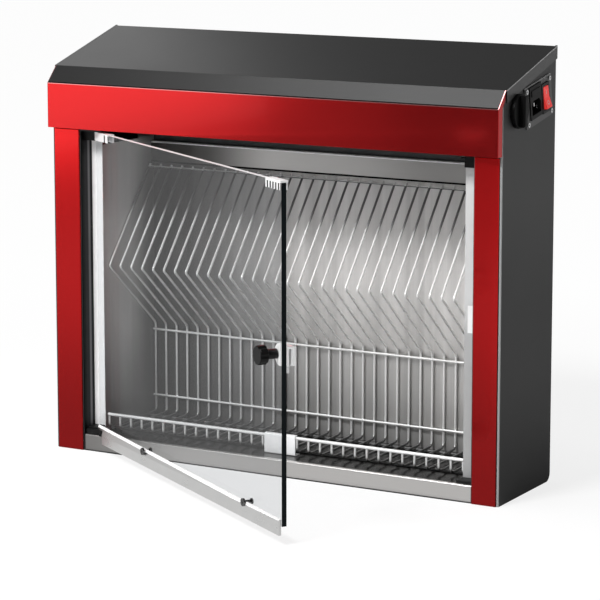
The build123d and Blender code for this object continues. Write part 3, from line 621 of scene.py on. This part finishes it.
give(white_plastic, "lampholders", "starter_socket", "starter", "terminal_block", "timer_body")
give(lamp_glass, "uv_lamp_tube")

# ---- Small marks and recesses ------------------------------------------------------------------


def ring(radius, count=24):
    """The corners of a circle, counter-clockwise."""
    turns = [2 * pi * step / count for step in range(count)]
    return [(radius * cos(turn), radius * sin(turn)) for turn in turns]


def cross(arm, width):
    """The corners of a cross recess, counter-clockwise."""
    half = width / 2
    corner = [(half, -arm), (half, -half), (arm, -half)]
    shape = []
    for turn in range(4):
        shape += corner
        corner = [(-y, x) for x, y in corner]
    return shape


def bar(width, length):
    """The corners of an upright bar, counter-clockwise."""
    return [(-width / 2, -length / 2), (width / 2, -length / 2), (width / 2, length / 2),
            (-width / 2, length / 2)]


def mark(name, body, finish, place, across, up, outer, inner=None, thickness=0.00012):
    """A thin mark on a face, drawn in the face's own frame, with a hole where it has an inner outline."""
    across, up = Vector(across), Vector(up)
    outward = across.cross(up)
    loops = [outer] if inner is None else [outer, inner]
    corners = [Vector(place) + across * x + up * y + outward * lift
               for loop in loops for lift in (0, thickness) for x, y in loop]
    count = len(outer)
    following = [(step, (step + 1) % count) for step in range(count)]
    faces = [(a, b, b + count, a + count) for a, b in following]
    if inner is None:
        faces += [tuple(range(count, 2 * count)), tuple(reversed(range(count)))]
    else:
        deep = 2 * count
        faces += [(b + deep, a + deep, a + deep + count, b + deep + count) for a, b in following]
        faces += [(a + count, b + count, b + deep + count, a + deep + count) for a, b in following]
        faces += [(b, a, a + deep, b + deep) for a, b in following]
    mesh = bpy.data.meshes.new(name)
    mesh.from_pydata(corners, [], faces)
    mesh.materials.append(finish.material)
    piece = bpy.data.objects.new(name, mesh)
    bpy.context.scene.collection.objects.link(piece)
    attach(piece, body)


# The screws' cross recesses below are flat marks in a near black that paints the shade inside them.
plate_across = Vector((0, cos(PLATE_TILT), sin(PLATE_TILT)))
plate_up = Vector((0, -sin(PLATE_TILT), cos(PLATE_TILT)))
outward = Vector((1, 0, 0))
for column in (-1, 1):
    for row in (-1, 1):
        place = Vector(PLATE_PLACE) + plate_across * column * PLATE_SCREW[0] + plate_up * row * PLATE_SCREW[1]
        mark(f"plate_screw_recess_{column + 1}{row + 1}", "cabinet", recess_shade,
             place + outward * PLATE_SCREW_FACE, plate_across, plate_up, cross(0.0015, 0.0006))

for number, reach in enumerate(RAIL_SCREW_REACHES):
    place = Vector(DOOR_HINGE) + Vector(DOOR_ALONG) * reach - Vector(DOOR_INWARD) * RAIL_FACE
    place.z = RAIL_SCREW_HEIGHT
    mark(f"rail_screw_recess_{number}", "door", recess_shade, place, DOOR_ALONG,
         (0, 0, 1), cross(0.0026, 0.0010))

for number, height in enumerate(STRIKE_SCREW_HEIGHTS):
    mark(f"strike_screw_recess_{number}", "cabinet", recess_shade,
         (*STRIKE_SCREW_PLACE, height), (0, -1, 0), (0, 0, 1), cross(0.0016, 0.0006))

rocker_along = plate_up * cos(ROCKER_TURN) - outward * sin(ROCKER_TURN)
rocker_out = plate_up * sin(ROCKER_TURN) + outward * cos(ROCKER_TURN)
rocker_axis = Vector(PLATE_PLACE) + plate_across * ROCKER_OFFSET + outward * ROCKER_AXIS_LIFT
for sign, name, outer, inner in ((1, "on_mark", bar(0.0007, 0.005), None),
                                 (-1, "off_mark", ring(0.0025), ring(0.0018))):
    place = rocker_axis + rocker_along * sign * ROCKER_MARK_OFFSET + rocker_out * ROCKER_FACE
    rise = rocker_along * cos(ROCKER_FACE_TURN) + rocker_out * sign * sin(ROCKER_FACE_TURN)
    mark(name, "rocker", white_plastic, place, plate_across, rise, outer, inner)

# ---- Studio ------------------------------------------------------------------------------------


def studio_world():
    """A white surround for the eye, and a grey studio with a white back wall in reflections."""
    world = bpy.data.worlds.new("studio")
    bpy.context.scene.world = world
    studio = Shading(world)
    where = studio.add("ShaderNodeTexCoord")
    parts = studio.add("ShaderNodeSeparateXYZ", {}, {0: where.outputs["Generated"]})
    behind = Value(studio, parts.outputs["Y"]).steps(-0.1, 0.5)
    low = Value(studio, parts.outputs["Z"]).steps(0.1, 0.5, 1.0, 0.0)
    level = REFLECTED_STUDIO + (REFLECTED_WALL - REFLECTED_STUDIO) * (behind * low)
    reflected, diffuse, white = [
        studio.add("ShaderNodeBackground", {}, {"Color": (1, 1, 1), "Strength": strength})
        for strength in (level, AMBIENT, 1.0)]
    unseen = studio.add("ShaderNodeMixShader", {}, {0: studio.ray("Glossy"), 1: diffuse.outputs[0],
                                                    2: reflected.outputs[0]})
    whole = studio.add("ShaderNodeMixShader", {}, {0: studio.ray("Camera", "Transmission"),
                                                   1: unseen.outputs[0], 2: white.outputs[0]})
    studio.add("ShaderNodeOutputWorld", {}, {"Surface": whole.outputs[0]})


def floor():
    """A plain white floor that keeps the cabinet's shadow; in reflections it shows a painted pool of light
    ahead of the cabinet, with painted shade close around the cabinet.
    """
    size = 12.0
    mesh = bpy.data.meshes.new("floor")
    corners = [(-size, -size, 0), (size, -size, 0), (size, size, 0), (-size, size, 0)]
    mesh.from_pydata(corners, [], [(0, 1, 2, 3)])
    piece = bpy.data.objects.new("floor", mesh)
    bpy.context.scene.collection.objects.link(piece)
    finish = Finish("floor_white", roughness=0.9)
    seen = finish.ray("Camera", "Transmission")
    glossy = finish.ray("Glossy")
    across, along = finish.axis("X"), finish.axis("Y")
    reach = (across * across + along * along).power(0.5)
    ahead = -1 * along
    # Seen in reflections only: a painted pool of light ahead, with painted shade close around the cabinet,
    # fading out far ahead.
    pool_with_near_shade = (0.25 + reach.steps(0.3, 0.8) + ahead.steps(0.02, 0.12)).least(1)
    reflected_light_pool = pool_with_near_shade * (1 - 0.9 * ahead.steps(1.2, 1.9))
    backdrop = reach.steps(0.5, 1.3, 0.8, 0.97)
    finish.set("Base Color", finish.blend(glossy, (0.9, 0.9, 0.9), (0.1, 0.1, 0.1)))
    glow = finish.add("ShaderNodeEmission", {}, {"Color": (1, 1, 1), "Strength": 1.0})
    mix = finish.add("ShaderNodeMixShader", {}, {0: backdrop * seen + REFLECTED_FLOOR * reflected_light_pool * glossy,
                                                 1: finish.shader.outputs[0], 2: glow.outputs[0]})
    finish.put(finish.output, "Surface", mix.outputs[0])
    mesh.materials.append(finish.material)


def softbox(name, place, target, size, brightness, roll=0.0):
    """A softbox that looks at a place, given its brightness as it is seen."""
    data = bpy.data.lights.new(name, "AREA")
    data.shape = "RECTANGLE"
    data.size, data.size_y = size
    data.energy = brightness * pi * size[0] * size[1]
    lamp = bpy.data.objects.new(name, data)
    lamp.location = place
    turn = (Vector(target) - Vector(place)).to_track_quat("-Z", "Y")
    lamp.rotation_euler = (turn @ Quaternion((0, 0, 1), radians(roll))).to_euler()
    bpy.context.scene.collection.objects.link(lamp)


AMBIENT = 0.3
REFLECTED_STUDIO = 0.14
REFLECTED_WALL = 0.5
REFLECTED_FLOOR = 0.58

studio_world()
floor()
softbox("left_bank", (-1.86, -1.82, 0.98), (0, 0, 0.98), (1.3, 1.9), 1.2, 8)
softbox("key", (-0.5, -2.1, 2.3), (0, 0, 0.25), (0.9, 0.5), 68)
softbox("overhead", (-0.62, -0.3, 2.3), (-0.62, -0.3, 0), (0.9, 0.8), 6)
softbox("back_left", (-2.2, 1.6, 2.2), (-0.2, 0, 0.5), (1.4, 1.2), 1.3)
